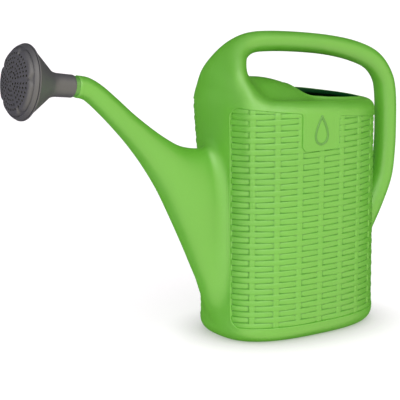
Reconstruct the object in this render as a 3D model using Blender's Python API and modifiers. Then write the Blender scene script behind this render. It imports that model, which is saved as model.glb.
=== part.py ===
"""Garden watering can: a blow-moulded can (tank, spout and handle) with a push-on sprinkler rose.

The origin is the centre of the tank's flat base. +Z is up, the spout points along -X, the handle lies
in the plane y = 0, and the can is symmetric about that plane. Lengths are in metres.
"""
import math

import bmesh
import bpy
from mathutils import Vector

MM = 0.001

# Walls and fits
WALL = 2.2 * MM
GAP = 0.3 * MM
MERGE = 0.00005

# Tank: a superellipse in plan, a little wider at the top than at the base
TANK_HALF_LENGTH = 112.6 * MM
TANK_LENGTH_TAPER = -0.004
TANK_HALF_WIDTH = 77.7 * MM
TANK_WIDTH_TAPER = 0.0313
TANK_EXPONENT = 2.6
TANK_COLUMNS = 48
BASE_RADIUS = 16 * MM

# Roof of the tank: it falls towards the back, and carries a bell under the handle and a hood
ROOF_HEIGHT = 292.8 * MM
ROOF_SLOPE = -0.08
ROOF_SAG = -0.05
SHOULDER_RADIUS = 19 * MM
NECK_X = -93.5 * MM
NECK_HALF_LENGTH = 17.5 * MM
NECK_HALF_WIDTH = 40 * MM
NECK_RISE = 6 * MM
HOOD_X = -50 * MM
HOOD_RISE = 22.6 * MM
HOOD_FALL = 3.8
HOOD_HALF_WIDTH = 62 * MM

# Filling mouth: round at the back, closed by the hood at the front, with an upright lip
MOUTH_X = 41 * MM
MOUTH_BACK = 54 * MM
MOUTH_HALF_WIDTH = 59 * MM
MOUTH_EXPONENT = 2.3
HOOD_EDGE_X = -4 * MM
HOOD_EDGE_BOW = 0.5
LIP_HEIGHT = 3 * MM

# Spout: each section joins a point of the upper line to a point of the lower one, with a half-width
SPOUT_SECTIONS = (
    # upper x, upper z, lower x, lower z, half-width, in millimetres
    (-62, 228, -62, 30, 27),
    (-90, 236, -112, 30, 31),
    (-107, 238, -134, 78, 32),
    (-122, 238.5, -151, 118, 31),
    (-140, 240.5, -169, 158, 28.5),
    (-158, 246, -186, 193, 25.5),
    (-178, 258, -205, 224, 21.5),
    (-199, 273.5, -224, 250, 17.6),
    (-220, 291, -240.5, 269.5, 14.8),
    (-241, 310.5, -260, 290.5, 13.6),
    (-260, 327, -277.5, 307.5, 13.1),
    (-276, 336.8, -285.5, 312.8, 12.9),
    (-289.9, 340.4, -293.9, 315.0, 12.9),
)
SPOUT_SIDES = 24
NOZZLE_TILT = math.radians(9)
NOZZLE_END = Vector((-291.9 * MM, 0, 327.7 * MM))
COLLAR_RADIUS = 12 * MM
COLLAR_LENGTH = 5.3 * MM
SPIGOT_RADIUS = 10.7 * MM
SPIGOT_LENGTH = 25 * MM

# Handle: the middle line of the tube, its half-thickness in the plane y = 0 and its half-width
HANDLE_STATIONS = (
    # x, z, half-thickness, half-width, in millimetres
    (-90, 290, 18.5, 56),
    (-90.5, 308, 20, 53),
    (-89.5, 325, 19, 42.5),
    (-82, 341.5, 16.3, 29.5),
    (-70.5, 353, 14.4, 18.5),
    (-52, 360, 12.8, 13),
    (-25, 360.3, 12.5, 12.5),
    (20, 356, 12.4, 12.4),
    (65, 349, 12.6, 12.6),
    (104, 339, 13.2, 13),
    (134, 325.5, 13.5, 13.4),
    (151.3, 306, 13.6, 13.6),
    (158, 283, 14.1, 14),
    (159.2, 240, 14.1, 14),
    (157.5, 205, 14.1, 14),
    (152.5, 174, 14.3, 14.2),
    (139, 145, 14.8, 14.8),
    (121, 115, 15.5, 15.5),
    (102, 86, 16, 16),
    (90, 68, 16, 16),
)
HANDLE_SIDES = 16
HANDLE_STEPS_PER_STATION = 2
HANDLE_WALL = 2.6 * MM
HANDLE_PARTS = (
    # name, first station, last station
    ("handle_neck", 0, 5),
    ("handle_bar", 5, 10),
    ("handle_leg", 10, len(HANDLE_STATIONS) - 1),
)

# Rose: distances along its axis from the end of the spout, and radii
SLEEVE_START = COLLAR_LENGTH + GAP
SLEEVE_LENGTH = 28.5 * MM
SLEEVE_END_RADIUS = 13.0 * MM
SLEEVE_ROOT_RADIUS = 13.75 * MM
SLEEVE_BORE = 11.1 * MM
ROSE_RADIUS = 43.5 * MM
ROSE_WALL = 1.8 * MM
LIP_START = 66 * MM
LIP_END = 68 * MM
FACE_APEX = 82.2 * MM
FACE_DOME = (
    # radius, distance, in millimetres
    (12, 81.7),
    (24, 80.3),
    (31, 79.1),
    (34.5, 77.7),
    (37.2, 74.8),
    (38.4, 73.3),
    (40.4, 72.5),
    (41.9, 71.3),
)
FACE_INSIDE = (
    (39.1, 70.2),
    (36, 71.4),
    (31, 74.6),
    (24, 77.6),
    (12, 79.6),
)
SKIRT_END = 67.4 * MM
SKIRT_RADIUS = 40.9 * MM
ROSE_STEPS = 32

# Spray holes: five equal sectors, each with the same rows, and a wider gap between the sectors
SECTORS = 5
HOLE_RADIUS = 0.9 * MM
HOLE_SIDES = 6
HOLES_PER_SECTOR = (1, 3, 4, 5, 6, 7)
FIRST_RING_RADIUS = 5.2 * MM
RING_PITCH = 5.25 * MM
SECTOR_GAP = 1.6
SECTOR_TURN = math.radians(28)

COLLECTION_NAME = "watering_can"
CUTTER_COLLECTION_NAME = "cutters"


def clear_scene():
    for old in list(bpy.data.objects):
        bpy.data.objects.remove(old, do_unlink=True)


def make_collection(name):
    collection = bpy.data.collections.new(name)
    bpy.context.scene.collection.children.link(collection)
    return collection


def plastic(name, colour, roughness):
    material = bpy.data.materials.new(name)
    material.use_nodes = True
    shader = material.node_tree.nodes["Principled BSDF"]
    shader.inputs["Base Color"].default_value = (*colour, 1.0)
    shader.inputs["Roughness"].default_value = roughness
    shader.inputs["Metallic"].default_value = 0.0
    return material


def place(mesh, name, collection, material=None):
    obj = bpy.data.objects.new(name, mesh)
    collection.objects.link(obj)
    if material:
        mesh.materials.append(material)
    return obj


def hide_cutter(obj):
    obj.hide_render = True
    obj.display_type = "WIRE"


def smooth(mesh, sharp_angle=math.radians(40)):
    mesh.shade_smooth()
    mesh.set_sharp_from_angle(angle=sharp_angle)


def boolean(obj, cutter, operation="DIFFERENCE"):
    modifier = obj.modifiers.new(f"{operation.lower()}_{cutter.name}", "BOOLEAN")
    modifier.operation = operation
    modifier.object = cutter
    modifier.solver = "EXACT"


def loft(name, rings, cap_first=True, cap_last=True):
    """A mesh through rings of equal length, with triangles between them and a face across each end."""
    bm = bmesh.new()
    loops = [[bm.verts.new(point) for point in ring] for ring in rings]
    count = len(loops[0])
    for lower, upper in zip(loops, loops[1:]):
        for i in range(count):
            j = (i + 1) % count
            bm.faces.new((lower[i], lower[j], upper[j]))
            bm.faces.new((lower[i], upper[j], upper[i]))
    if cap_first:
        bm.faces.new(loops[0][::-1])
    if cap_last:
        bm.faces.new(loops[-1])
    bmesh.ops.recalc_face_normals(bm, faces=bm.faces)
    mesh = bpy.data.meshes.new(name)
    bm.to_mesh(mesh)
    bm.free()
    smooth(mesh)
    return mesh


def signed_power(value, exponent):
    return math.copysign(abs(value) ** exponent, value)


def catmull_rom(rows, steps):
    """Rows of numbers smoothed through every row, with steps new rows to each interval."""
    result = []
    for i in range(len(rows) - 1):
        before, start = rows[max(i - 1, 0)], rows[i]
        end, after = rows[i + 1], rows[min(i + 2, len(rows) - 1)]
        for step in range(steps):
            t = step / steps
            result.append([
                0.5 * (2 * b + (c - a) * t + (2 * a - 5 * b + 4 * c - d) * t * t
                       + (3 * b - a - 3 * c + d) * t ** 3)
                for a, b, c, d in zip(before, start, end, after)
            ])
    result.append(list(rows[-1]))
    return result


# Tank

def tank_half_axes(z, inset=0.0):
    half_length = TANK_HALF_LENGTH + TANK_LENGTH_TAPER * z - inset
    half_width = TANK_HALF_WIDTH + TANK_WIDTH_TAPER * z - inset
    return half_length, half_width


def tank_outline(angle, z, inset=0.0):
    half_length, half_width = tank_half_axes(z, inset)
    power = 2 / TANK_EXPONENT
    return (
        half_length * signed_power(math.cos(angle), power),
        half_width * signed_power(math.sin(angle), power),
    )


def depth_inside(x, y, z):
    """Distance from the tank's side wall, to first order."""
    half_length, half_width = tank_half_axes(z)
    n = TANK_EXPONENT
    u = abs(x) / half_length
    v = abs(y) / half_width
    radius = (u ** n + v ** n) ** (1 / n)
    slope = math.hypot(u ** (n - 1) / half_length, v ** (n - 1) / half_width) * radius ** (1 - n)
    return max((1 - radius) / slope, 0.0)


def mouth_outline(angle):
    c = math.cos(angle)
    s = math.sin(angle)
    n = MOUTH_EXPONENT
    back = (abs(c / MOUTH_BACK) ** n + abs(s / MOUTH_HALF_WIDTH) ** n) ** (-1 / n)
    reach = MOUTH_X - HOOD_EDGE_X
    bow = HOOD_EDGE_BOW * s * s
    inside = c * c - 4 * bow * reach
    radius = back
    if c < 0 and inside > 0:
        front = 2 * reach / (-c + math.sqrt(inside))
        radius = (back ** -8 + front ** -8) ** (-1 / 8)
    return MOUTH_X + radius * c, radius * s


def neck_distance(x, y):
    """1 on the foot of the handle, more outside it."""
    return math.hypot((x - NECK_X) / NECK_HALF_LENGTH, y / NECK_HALF_WIDTH)


def roof_height(x, y):
    """Height of the tank's top before its edge is rounded."""
    plane = ROOF_HEIGHT + ROOF_SLOPE * x + ROOF_SAG * x * x
    bell = NECK_RISE * min(max(2 - neck_distance(x, y), 0), 1) ** 2
    across = max(1 - (y / HOOD_HALF_WIDTH) ** 2, 0) ** 2
    along = max(HOOD_RISE - HOOD_FALL * (x - HOOD_X) ** 2, 0)
    hood = along * across
    return plane + (bell ** 3 + hood ** 3) ** (1 / 3)


def shoulder_radius(wall_point, mouth_point):
    """The shoulder's rounding, less where the mouth or the handle's foot is near the wall."""
    room = 0.7 * math.dist(wall_point, mouth_point)
    near_neck = min(max(neck_distance(*wall_point) - 0.9, 0) / 0.6, 1)
    return min(SHOULDER_RADIUS, room) * (0.25 + 0.75 * near_neck)


def tank_rings():
    """Rings from the flat base up the side and over the shoulder to the lip of the mouth."""
    angles = [2 * math.pi * i / TANK_COLUMNS for i in range(TANK_COLUMNS)]
    rings = []
    for step in range(5):
        turn = math.radians(90) * step / 4
        inset = BASE_RADIUS * (1 - math.sin(turn))
        z = BASE_RADIUS * (1 - math.cos(turn))
        rings.append([(*tank_outline(a, z, inset), z) for a in angles])
    for z in (95 * MM, 170 * MM, 240 * MM):
        rings.append([(*tank_outline(a, z), z) for a in angles])

    roof_z = ROOF_HEIGHT
    walls = [tank_outline(a, roof_z) for a in angles]
    mouths = [mouth_outline(a) for a in angles]
    radii = [shoulder_radius(w, m) for w, m in zip(walls, mouths)]

    def roof_point(wall, mouth, radius, share):
        x = wall[0] + (mouth[0] - wall[0]) * share
        y = wall[1] + (mouth[1] - wall[1]) * share
        away = max(radius - depth_inside(x, y, roof_z), 0)
        drop = radius - math.sqrt(max(radius * radius - away * away, 0))
        return x, y, roof_height(x, y) - drop

    rows = list(zip(walls, mouths, radii))
    for step in range(4):
        turn = math.radians(90) * step / 4
        rings.append([
            roof_point(w, m, r, r * (1 - math.cos(turn)) / math.dist(w, m)) for w, m, r in rows
        ])
    for step in range(8):
        ring = []
        for w, m, r in rows:
            start = r / math.dist(w, m)
            ring.append(roof_point(w, m, r, start + (1 - start) * step / 7))
        rings.append(ring)
    rings.append([(x, y, z + LIP_HEIGHT) for x, y, z in rings[-1]])
    return rings


def make_tank(parts, cutters, material, spout_bore):
    """The tank's shell, and a solid of its outside, a gap larger, that cuts what meets it."""
    tank = place(loft("tank", tank_rings(), cap_last=False), "tank", parts, material)
    solidify = tank.modifiers.new("wall", "SOLIDIFY")
    solidify.thickness = WALL
    solidify.offset = -1
    boolean(tank, spout_bore)
    clearance = place(loft("tank_clearance", tank_rings()), "tank_clearance", cutters)
    displace = clearance.modifiers.new("gap", "DISPLACE")
    displace.strength = GAP
    displace.mid_level = 0
    hide_cutter(clearance)
    return clearance


# Spout

def spout_ring(section, inset=0.0):
    upper_x, upper_z, lower_x, lower_z, half_width = section
    upper = Vector((upper_x * MM, 0, upper_z * MM))
    lower = Vector((lower_x * MM, 0, lower_z * MM))
    middle = (upper + lower) / 2
    radial = (upper - lower) / 2
    radial *= 1 - inset / radial.length
    across = Vector((0, half_width * MM - inset, 0))
    turn = 2 * math.pi / SPOUT_SIDES
    return [middle + radial * math.cos(turn * i) + across * math.sin(turn * i) for i in range(SPOUT_SIDES)]


def nozzle_ring(distance, radius):
    """A round ring on the nozzle's axis."""
    axis = Vector((-math.cos(NOZZLE_TILT), 0, math.sin(NOZZLE_TILT)))
    up = Vector((math.sin(NOZZLE_TILT), 0, math.cos(NOZZLE_TILT)))
    middle = NOZZLE_END + axis * distance
    turn = 2 * math.pi / SPOUT_SIDES
    return [
        middle + up * (radius * math.cos(turn * i)) + Vector((0, radius * math.sin(turn * i), 0))
        for i in range(SPOUT_SIDES)
    ]


def make_spout_bore(cutters):
    rings = [spout_ring(section, WALL) for section in SPOUT_SECTIONS[:-1]]
    rings.append(nozzle_ring(0, SPIGOT_RADIUS - WALL))
    rings.append(nozzle_ring(SPIGOT_LENGTH + 5 * MM, SPIGOT_RADIUS - WALL))
    bore = place(loft("spout_bore", rings), "spout_bore", cutters)
    hide_cutter(bore)
    return bore


def make_spout(parts, material, tank_clearance, spout_bore):
    rings = [spout_ring(section) for section in SPOUT_SECTIONS]
    chamfer = 1 * MM
    rings.append(nozzle_ring(0.8 * MM, COLLAR_RADIUS))
    rings.append(nozzle_ring(COLLAR_LENGTH, COLLAR_RADIUS))
    rings.append(nozzle_ring(COLLAR_LENGTH, SPIGOT_RADIUS))
    rings.append(nozzle_ring(SPIGOT_LENGTH - chamfer, SPIGOT_RADIUS))
    rings.append(nozzle_ring(SPIGOT_LENGTH, SPIGOT_RADIUS - chamfer))
    spout = place(loft("spout", rings), "spout", parts, material)
    boolean(spout, tank_clearance)
    boolean(spout, spout_bore)
    return spout


# Handle

def handle_rings(inset=0.0):
    """Oval rings square to the handle's middle line, from its front foot to its rear one."""
    stations = catmull_rom(HANDLE_STATIONS, HANDLE_STEPS_PER_STATION)
    rings = []
    for i, (x, z, half_thickness, half_width) in enumerate(stations):
        before = stations[max(i - 1, 0)]
        after = stations[min(i + 1, len(stations) - 1)]
        along = Vector((after[0] - before[0], 0, after[1] - before[1])).normalized()
        outward = Vector((-along.z, 0, along.x))
        middle = Vector((x * MM, 0, z * MM))
        thick = half_thickness * MM - inset
        wide = half_width * MM - inset
        ring = []
        for side in range(HANDLE_SIDES):
            turn = 2 * math.pi * side / HANDLE_SIDES
            ring.append(middle + outward * (thick * math.cos(turn)) + Vector((0, wide * math.sin(turn), 0)))
        rings.append(ring)
    return rings


def make_handle(parts, cutters, material, tank_clearance):
    """The hollow handle in three lengths, which meet end to end with a gap."""
    bore = place(loft("handle_bore", handle_rings(HANDLE_WALL)), "handle_bore", cutters)
    hide_cutter(bore)
    rings = handle_rings()
    for name, first, last in HANDLE_PARTS:
        length = rings[first * HANDLE_STEPS_PER_STATION:last * HANDLE_STEPS_PER_STATION + 1]
        if first > 0:
            reach = (length[1][0] - length[0][0]).length
            length[0] = [a.lerp(b, GAP / reach) for a, b in zip(length[0], length[1])]
        handle = place(loft(name, length), name, parts, material)
        if name != "handle_bar":
            boolean(handle, tank_clearance)
        boolean(handle, bore)


# Rose

def turned(name, profile, parent, collection, material, closed=True):
    """A profile of (radius, height) points turned about its own Z axis, outer side running down."""
    bm = bmesh.new()
    verts = [bm.verts.new((radius, 0, height)) for radius, height in profile]
    for a, b in zip(verts, verts[1:]):
        bm.edges.new((a, b))
    if closed:
        bm.edges.new((verts[-1], verts[0]))
    mesh = bpy.data.meshes.new(name)
    bm.to_mesh(mesh)
    bm.free()
    obj = place(mesh, name, collection, material)
    obj.parent = parent
    screw = obj.modifiers.new("turn", "SCREW")
    screw.steps = ROSE_STEPS
    screw.render_steps = ROSE_STEPS
    screw.use_merge_vertices = True
    screw.merge_threshold = MERGE
    screw.use_smooth_shade = True
    return obj


def cone_profile():
    """Down the outside from the rim to the sleeve's open end, then up the inside."""
    outer = [
        (ROSE_RADIUS - 0.2 * MM, LIP_END),
        (ROSE_RADIUS, LIP_END - 0.2 * MM),
        (ROSE_RADIUS, LIP_START),
        (40.8 * MM, 64.5 * MM),
        (15.6 * MM, 35 * MM),
        (14.4 * MM, 31.5 * MM),
        (SLEEVE_ROOT_RADIUS, SLEEVE_LENGTH),
        (SLEEVE_END_RADIUS + 0.25 * MM, SLEEVE_START + 1.5 * MM),
        (SLEEVE_END_RADIUS - 0.4 * MM, SLEEVE_START),
    ]
    inner = [
        (SLEEVE_BORE, SLEEVE_START),
        (SLEEVE_BORE, SLEEVE_LENGTH),
        (12 * MM, 32.5 * MM),
        (13.4 * MM, 36.2 * MM),
        (38.2 * MM, 64.8 * MM),
        (ROSE_RADIUS - ROSE_WALL, 67.2 * MM),
        (ROSE_RADIUS - ROSE_WALL, LIP_END),
    ]
    return outer + inner


def face_profile():
    """Over the dome from its apex, down the skirt that snaps into the cone, and back up inside."""
    bottom = LIP_END + GAP
    outer = [(0, FACE_APEX)]
    outer += [(radius * MM, distance * MM) for radius, distance in FACE_DOME]
    rim = [
        (ROSE_RADIUS - 0.6 * MM, bottom + 1.2 * MM),
        (ROSE_RADIUS - 0.8 * MM, bottom),
        (SKIRT_RADIUS, bottom),
        (SKIRT_RADIUS, SKIRT_END),
        (SKIRT_RADIUS - ROSE_WALL, SKIRT_END),
    ]
    inner = [(radius * MM, distance * MM) for radius, distance in FACE_INSIDE]
    return outer + rim + inner + [(0, 80 * MM)]


def spray_hole_places():
    """(x, y) of each spray hole in the face's own frame, ring by ring and sector by sector."""
    places = [(0.0, 0.0)]
    sector_angle = 2 * math.pi / SECTORS
    for ring, holes in enumerate(HOLES_PER_SECTOR):
        radius = FIRST_RING_RADIUS + RING_PITCH * ring
        pitch = sector_angle / (holes - 1 + SECTOR_GAP)
        for sector in range(SECTORS):
            middle = SECTOR_TURN + sector_angle * sector
            for hole in range(holes):
                angle = middle + pitch * (hole - (holes - 1) / 2)
                places.append((radius * math.cos(angle), radius * math.sin(angle)))
    return places


def make_hole_cutter(parent, cutters):
    bm = bmesh.new()
    depth = FACE_APEX - LIP_END + 10 * MM
    for x, y in spray_hole_places():
        pin = bmesh.ops.create_cone(
            bm, cap_ends=True, segments=HOLE_SIDES, radius1=HOLE_RADIUS, radius2=HOLE_RADIUS, depth=depth,
        )
        bmesh.ops.translate(bm, verts=pin["verts"], vec=(x, y, FACE_APEX + 5 * MM - depth / 2))
    mesh = bpy.data.meshes.new("spray_holes")
    bm.to_mesh(mesh)
    bm.free()
    cutter = place(mesh, "spray_holes", cutters)
    cutter.parent = parent
    hide_cutter(cutter)
    return cutter


def make_rose(parts, cutters, material):
    seat = bpy.data.objects.new("rose_axis", None)
    parts.objects.link(seat)
    seat.location = NOZZLE_END
    seat.rotation_euler = (0, NOZZLE_TILT - math.radians(90), 0)
    turned("rose_cone", cone_profile(), seat, parts, material)
    face = turned("rose_face", face_profile(), seat, parts, material, closed=False)
    boolean(face, make_hole_cutter(seat, cutters))


def main():
    clear_scene()
    parts = make_collection(COLLECTION_NAME)
    cutters = make_collection(CUTTER_COLLECTION_NAME)
    green = plastic("green_plastic", (0.07, 0.42, 0.03), 0.38)
    charcoal = plastic("charcoal_plastic", (0.06, 0.06, 0.065), 0.5)

    spout_bore = make_spout_bore(cutters)
    tank_clearance = make_tank(parts, cutters, green, spout_bore)
    make_spout(parts, green, tank_clearance, spout_bore)
    make_handle(parts, cutters, green, tank_clearance)
    make_rose(parts, cutters, charcoal)
    bpy.context.view_layer.update()


main()
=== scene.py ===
"""Looks of the watering can: the seamless moulded can with its woven panels, and the sprinkler rose."""
import math

import bmesh
import bpy
import numpy as np
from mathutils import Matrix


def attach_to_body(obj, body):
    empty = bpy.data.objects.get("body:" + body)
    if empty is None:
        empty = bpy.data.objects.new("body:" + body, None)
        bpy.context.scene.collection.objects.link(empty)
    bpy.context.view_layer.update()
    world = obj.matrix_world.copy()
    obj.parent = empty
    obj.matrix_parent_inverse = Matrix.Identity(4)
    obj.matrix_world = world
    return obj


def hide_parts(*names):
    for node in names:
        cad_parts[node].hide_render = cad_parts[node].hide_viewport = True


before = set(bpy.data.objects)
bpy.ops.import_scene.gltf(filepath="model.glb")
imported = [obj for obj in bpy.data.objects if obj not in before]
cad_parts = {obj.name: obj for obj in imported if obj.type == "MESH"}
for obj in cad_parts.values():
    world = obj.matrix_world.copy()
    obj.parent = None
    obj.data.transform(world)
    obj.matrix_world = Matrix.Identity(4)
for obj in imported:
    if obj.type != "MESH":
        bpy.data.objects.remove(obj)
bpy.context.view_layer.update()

import openvdb
from mathutils import Matrix, Vector

MM = 0.001

# Everything below is in millimetres, in the frame's axes, until a mesh is made.

# Tank
TANK_HALF_LENGTH = 112.6
TANK_LENGTH_TAPER = -0.004
TANK_HALF_WIDTH = 77.2
TANK_WIDTH_TAPER = 0.0313
TANK_POWER = 2.6
BASE_RADIUS = 16
SHOULDER_RADIUS = 19
SHOULDER_RADIUS_AT_BACK = 11
SHOULDER_CHANGE = (30, 90)
# The roof's height over the middle of the tank, and its slope and curve towards +X
ROOF_HEIGHT, ROOF_SLOPE, ROOF_CURVE = 292.8, -0.08, -0.00005
ROOF_COSINE = 0.98
HOOD_X, HOOD_RISE, HOOD_FALL, HOOD_HALF_WIDTH = -50, 22.6, 0.0038, 62
MOUTH_X, MOUTH_BACK, MOUTH_HALF_WIDTH, MOUTH_POWER = 41, 54, 59, 2.3
HOOD_EDGE_X, HOOD_EDGE_BOW = -4, 0.0005
MOUTH_CORNER_POWER = 8

# Spout and nozzle
SPOUT_SECTIONS = (
    # upper x, upper z, lower x, lower z, half-width
    (-62, 228, -62, 30, 22),
    (-90, 236, -112, 30, 26),
    (-107, 238, -134, 78, 27),
    (-122, 238.5, -151, 118, 26.5),
    (-140, 240.5, -169, 158, 25),
    (-158, 246, -186, 193, 23),
    (-178, 258, -205, 224, 20),
    (-199, 273.5, -224, 250, 17),
    (-220, 291, -240.5, 269.5, 14.8),
    (-241, 310.5, -260, 290.5, 13.6),
    (-260, 327, -277.5, 307.5, 13.1),
    (-276, 336.8, -285.5, 312.8, 12.9),
    (-289.9, 340.4, -293.9, 315.0, 12.9),
)
NOZZLE_TILT = math.radians(9)
NOZZLE_AXIS = Vector((-math.cos(NOZZLE_TILT), 0, math.sin(NOZZLE_TILT)))
NOZZLE_END = Vector((-291.9, 0, 327.7))
NOZZLE_BEGINS_X = -262
SHELL_END = 0.7
COLLAR_END = 5.3

# Handle
HANDLE_STATIONS = (
    # x, z, half-thickness, half-width
    (-82, 190, 5, 26),
    (-88, 250, 14, 50),
    (-90, 290, 18.5, 56),
    (-90.5, 308, 20, 53),
    (-89.5, 325, 19, 42.5),
    (-82, 341.5, 16.3, 29.5),
    (-70.5, 353, 14.4, 18.5),
    (-52, 360, 12.8, 13),
    (-25, 360.3, 12.5, 12.5),
    (20, 356, 12.4, 12.4),
    (65, 349, 12.6, 12.6),
    (104, 339, 13.2, 13),
    (134, 325.5, 13.5, 13.4),
    (151.3, 306, 13.6, 13.6),
    (158, 283, 14.1, 14),
    (159.1, 240, 14.1, 14),
    (157.5, 205, 14.1, 14),
    (152.5, 174, 14.3, 14.2),
    (139, 145, 14.8, 14.8),
    (121, 115, 15.5, 15.5),
    (102, 86, 16, 16),
    (90, 68, 16, 16),
)

# Radii of the blends between the parts of the moulding: NECK_BLEND is added round the handle's neck
HANDLE_BLEND, NECK_BLEND, SPOUT_BLEND = 8, 14, 13
NECK_FADES_BACK = (20, -50)
NECK_FADES_FRONT = (-108, -88)


# Small tools

def catmull_rom(rows, steps):
    """A smooth curve through rows of numbers, with the given steps from each row to the next."""
    rows = np.array(rows, float)
    padded = np.vstack([2 * rows[0] - rows[1], rows, 2 * rows[-1] - rows[-2]])
    result = []
    for i in range(1, len(padded) - 2):
        a, b, c, d = padded[i - 1:i + 3]
        for t in np.arange(steps) / steps:
            result.append(0.5 * (2 * b + (c - a) * t + (2 * a - 5 * b + 4 * c - d) * t ** 2
                                 + (3 * b - a - 3 * c + d) * t ** 3))
    result.append(rows[-1])
    return np.array(result)


def smoothstep(low, high, value):
    """0 at low, 1 at high, and a smooth rise between them."""
    t = np.clip((value - low) / (high - low), 0, 1)
    return t * t * (3 - 2 * t)


def round_union(a, b, radius):
    """Both shapes, with a fillet of the given radius between them."""
    u = np.maximum(radius - a, 0)
    v = np.maximum(radius - b, 0)
    return np.maximum(radius, np.minimum(a, b)) - np.sqrt(u * u + v * v)


def round_intersection(a, b, radius):
    """What both shapes share, with its edge rounded to the given radius."""
    return -round_union(-a, -b, radius)


def lengths_along(line):
    """Length of a line up to each of its points."""
    return np.concatenate([[0], np.cumsum(np.hypot(*np.diff(line, axis=0).T))])


def evenly_spaced(line, count):
    """Points at equal steps along a line that ends where it starts."""
    length = lengths_along(line)
    place = np.linspace(0, length[-1], count + 1)[:-1]
    return np.stack([np.interp(place, length, line[:, i]) for i in range(2)], -1)


def outward(line, reach=1):
    """Outward normals of a closed outline that runs anticlockwise."""
    tangent = np.roll(line, -reach, axis=0) - np.roll(line, reach, axis=0)
    tangent /= np.hypot(*tangent.T)[:, None]
    return np.stack([tangent[:, 1], -tangent[:, 0]], -1)


def mesh_object(name, points, faces, material):
    """A smooth-shaded mesh object from points in millimetres."""
    mesh = bpy.data.meshes.new(name)
    mesh.from_pydata((np.asarray(points) * MM).tolist(), [], np.asarray(faces).tolist())
    mesh.validate()
    mesh.shade_smooth()
    mesh.materials.append(material)
    obj = bpy.data.objects.new(name, mesh)
    bpy.context.scene.collection.objects.link(obj)
    return obj


# Fields: about the distance to a surface, negative inside it

CURVE_STEPS = 12
MAP_ORIGIN = (-330.0, -20.0)
MAP_SIZE = (540, 420)
# What a map says where the handle's or the spout's end is far ahead
NOT_PAST = -1e3
# How far across the spout its map reaches, in half-heights, and what it says beyond
FARTHEST_ACROSS, OFF_SPOUT = 2.5, 9


def map_points():
    """x and z of the maps' points, 1 mm apart."""
    x = MAP_ORIGIN[0] + np.arange(MAP_SIZE[0])
    z = MAP_ORIGIN[1] + np.arange(MAP_SIZE[1])
    return np.meshgrid(x, z, indexing="ij")


def sample(field_map, x, z):
    """A map of the plane y = 0, read between its points."""
    u = np.clip(x - MAP_ORIGIN[0], 0, MAP_SIZE[0] - 1.001)
    v = np.clip(z - MAP_ORIGIN[1], 0, MAP_SIZE[1] - 1.001)
    i = u.astype(int)
    j = v.astype(int)
    s = u - i
    t = v - j
    near = field_map[i, j] * (1 - t) + field_map[i, j + 1] * t
    far = field_map[i + 1, j] * (1 - t) + field_map[i + 1, j + 1] * t
    return near * (1 - s) + far * s


def handle_maps():
    """Offset from the handle's middle line, its half sizes there, and the distance past its ends."""
    line = catmull_rom(HANDLE_STATIONS, CURVE_STEPS)
    tangent = np.gradient(line[:, :2], axis=0)
    step = np.hypot(*tangent.T)
    tangent /= step[:, None]
    px, pz = map_points()
    maps = np.zeros((4,) + px.shape)
    for i in range(px.shape[0]):
        dx = px[i][:, None] - line[:, 0]
        dz = pz[i][:, None] - line[:, 1]
        k = np.argmin(dx * dx + dz * dz, axis=1)
        rows = np.arange(len(k))
        dx, dz = dx[rows, k], dz[rows, k]
        along = dx * tangent[k, 0] + dz * tangent[k, 1]
        place = np.clip(k + along / step[k], 0, len(line) - 1)
        whole = np.minimum(place.astype(int), len(line) - 2)
        part = (place - whole)[:, None]
        here = line[whole] * (1 - part) + line[whole + 1] * part
        t = tangent[whole] * (1 - part) + tangent[whole + 1] * part
        t /= np.hypot(*t.T)[:, None]
        ox = px[i] - here[:, 0]
        oz = pz[i] - here[:, 1]
        past = np.where(place <= 0, -(ox * t[:, 0] + oz * t[:, 1]), NOT_PAST)
        past = np.where(place >= len(line) - 1, ox * t[:, 0] + oz * t[:, 1], past)
        maps[:, i] = (oz * t[:, 0] - ox * t[:, 1], here[:, 2], here[:, 3], past)
    return maps


def spout_maps():
    """Place across the spout from -1 to 1, its half-height and half-width there, the way past its end."""
    rows = catmull_rom(SPOUT_SECTIONS, CURVE_STEPS)
    upper, lower = rows[:, 0:2], rows[:, 2:4]
    middle = (upper + lower) / 2
    radial = (upper - lower) / 2
    half = np.hypot(*radial.T)
    unit = radial / half[:, None]
    px, pz = map_points()
    maps = np.zeros((4,) + px.shape)
    for i in range(px.shape[0]):
        dx = px[i][:, None] - middle[:, 0]
        dz = pz[i][:, None] - middle[:, 1]
        across = (dx * unit[:, 0] + dz * unit[:, 1]) / half
        ahead = dx * unit[:, 1] - dz * unit[:, 0]
        crossing = (ahead[:, :-1] > 0) != (ahead[:, 1:] > 0)
        crossing &= np.abs(across[:, :-1]) < FARTHEST_ACROSS
        found = crossing.any(axis=1)
        k = np.where(found, crossing.argmax(axis=1), 0)
        line = np.arange(len(k))
        a, b = ahead[line, k], ahead[line, k + 1]
        part = np.where(found, a / np.where(a == b, 1, a - b), 0)
        across_here = across[line, k] * (1 - part) + across[line, k + 1] * part
        maps[0, i] = np.where(found, across_here, OFF_SPOUT)
        maps[1, i] = half[k] * (1 - part) + half[k + 1] * part
        maps[2, i] = rows[k, 4] * (1 - part) + rows[k + 1, 4] * part
        near_end = px[i] < NOZZLE_BEGINS_X
        beyond = near_end & (ahead[:, -1] < 0)
        maps[0, i] = np.where(beyond, across[:, -1], maps[0, i])
        maps[1, i] = np.where(beyond, half[-1], maps[1, i])
        maps[2, i] = np.where(beyond, rows[-1, 4], maps[2, i])
        maps[3, i] = np.where(near_end, -ahead[:, -1], NOT_PAST)
    return maps


def oval_distance(across, half_height, half_width, y):
    """First-order distance to an oval section."""
    side = y / half_width
    radius = np.sqrt(across * across + side * side)
    slope = np.sqrt((across / half_height) ** 2 + (side / half_width) ** 2)
    return (radius - 1) * radius / np.maximum(slope, 1e-4)


def tank_half_axes(z):
    """Half the tank's length and width at height z."""
    return TANK_HALF_LENGTH + TANK_LENGTH_TAPER * z, TANK_HALF_WIDTH + TANK_WIDTH_TAPER * z


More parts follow.
